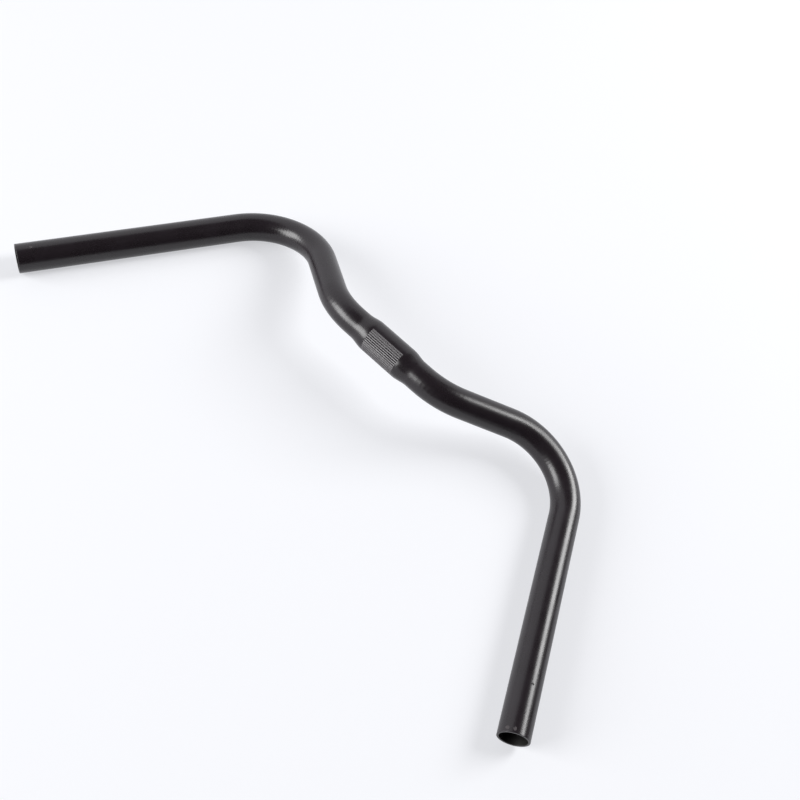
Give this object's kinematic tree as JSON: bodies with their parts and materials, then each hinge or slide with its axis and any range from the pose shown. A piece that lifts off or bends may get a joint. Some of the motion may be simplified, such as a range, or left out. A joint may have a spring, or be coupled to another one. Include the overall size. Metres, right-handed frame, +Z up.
{
  "type": "city bike handlebar",
  "caption": "Swept-back city bike handlebar bent from black aluminium tube, with a thicker serrated zone where the stem clamps.",
  "frame": {"origin": "centre of the clamp zone, on the axis of the tube", "axes": "+X along the clamp zone towards the rider's right, +Y forwards, +Z up; the grips sweep back to -Y, and the bar lies as it rests on a table, 41.4 mm below the origin"},
  "size_m": [0.518, 0.197, 0.0541],
  "materials": {
    "black_anodised_aluminium": "satin"
  },
  "bodies": {
    "root": {"handlebar": "black_anodised_aluminium"}
  },
  "joints": []
}
